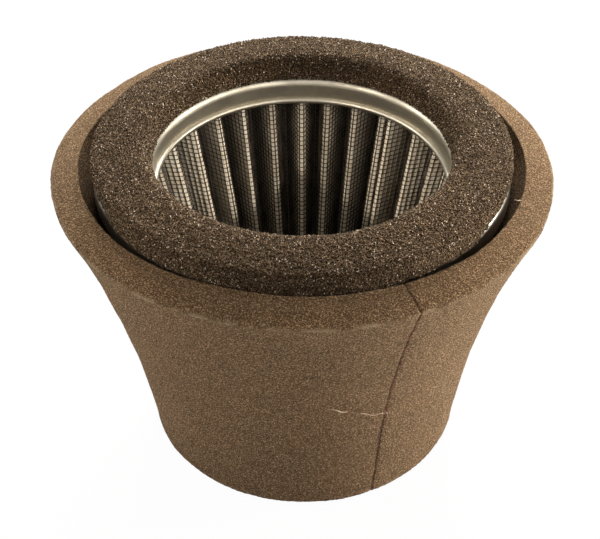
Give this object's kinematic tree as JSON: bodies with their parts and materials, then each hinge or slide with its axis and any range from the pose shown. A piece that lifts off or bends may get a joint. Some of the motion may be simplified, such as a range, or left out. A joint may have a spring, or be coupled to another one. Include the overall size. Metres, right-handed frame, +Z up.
{
  "type": "air filter",
  "caption": "Conical pleated air filter element with steel end caps, a foam sealing ring and a stud hole, standing in a flared foam pre-filter sleeve.",
  "frame": {"origin": "on the axis of the cone, where the foam sleeve stands on its narrow end", "axes": "+Z up along the axis, from the narrow end to the sealing ring; the sleeve's glued seam is 26 degrees from -Y towards +X"},
  "size_m": [0.1214, 0.1214, 0.0861],
  "materials": {
    "sleeve_foam": "matte",
    "gasket_foam": "matte",
    "glue": "satin",
    "adhesive": "satin",
    "cap_steel": "satin",
    "collar_steel": "polished",
    "bush_steel": "satin",
    "clip_steel": "satin",
    "mesh_wire": "satin",
    "paper": "matte",
    "grommet_rubber": "matte",
    "sealant": "satin",
    "potting": "satin"
  },
  "bodies": {
    "prefilter": {"foam_sleeve": "sleeve_foam", "sleeve_seam_glue": "glue"},
    "element": {"top_end_cap": "cap_steel", "collar_ring": "collar_steel", "gasket_adhesive": "adhesive", "gasket_ring": "gasket_foam", "bottom_end_cap": "cap_steel", "stud_grommet": "grommet_rubber", "stud_bush": "bush_steel", "inner_mesh": "mesh_wire", "outer_mesh": "mesh_wire", "filter_paper": "paper", "seam_clip": "clip_steel", "seam_sealant": "sealant", "top_potting": "potting", "bottom_potting": "potting"}
  },
  "joints": [
    {"name": "element_lift", "type": "slide", "parent": "prefilter", "child": "element", "axis": [0, 0, 1], "range_m": [0, 0.09]}
  ]
}
